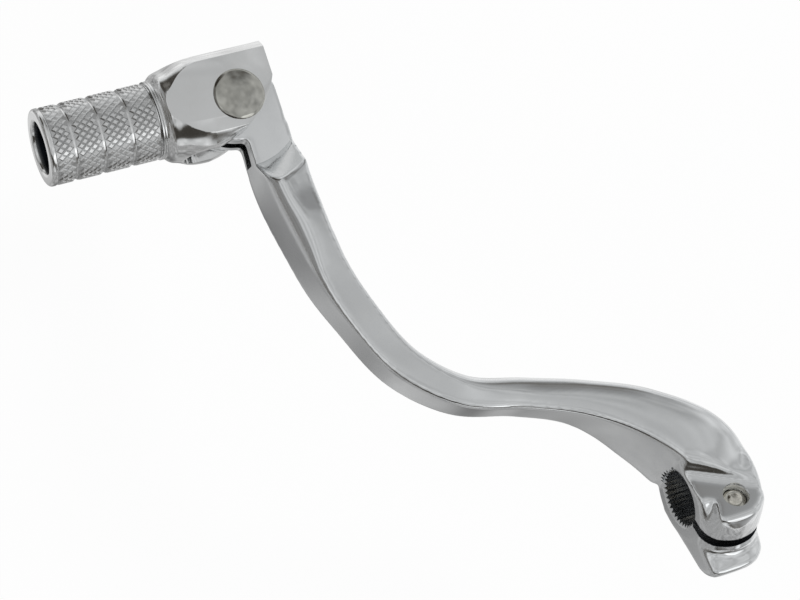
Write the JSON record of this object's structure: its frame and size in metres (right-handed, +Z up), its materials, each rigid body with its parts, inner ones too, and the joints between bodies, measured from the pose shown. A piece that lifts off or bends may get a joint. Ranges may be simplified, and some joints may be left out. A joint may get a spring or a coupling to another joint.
{
  "type": "motorcycle gear shift lever",
  "caption": "S-bent gear shift lever with a splined split clamp and a sprung folding tip with a knurled grip.",
  "frame": {"origin": "on the axis of the splined bore, at the outboard face of the clamp boss", "axes": "+X forward from the clamp to the tip, +Y outboard along the bore axis, +Z up along the pivot pin"},
  "size_m": [0.1397, 0.1189, 0.0428],
  "materials": {
    "polished_aluminium": "polished",
    "turned_aluminium": "turned",
    "pin_steel": "satin",
    "spring_steel": "dark",
    "plated_bolt_steel": "plated"
  },
  "bodies": {
    "lever": {"lever_arm": "polished_aluminium", "pinch_bolt": "plated_bolt_steel", "return_spring": "spring_steel"},
    "tip": {"folding_tip": "turned_aluminium", "pivot_pin": "pin_steel"}
  },
  "joints": [
    {"name": "tip_fold", "type": "hinge", "parent": "lever", "child": "tip", "pos_m": [0.1105, 0.0612, -0.02], "axis": [0, 0, 1], "range_deg": [0, 48], "stiffness_Nm_per_rad": 0.4, "springref_deg": -51.57, "deforming": ["return_spring"]}
  ]
}
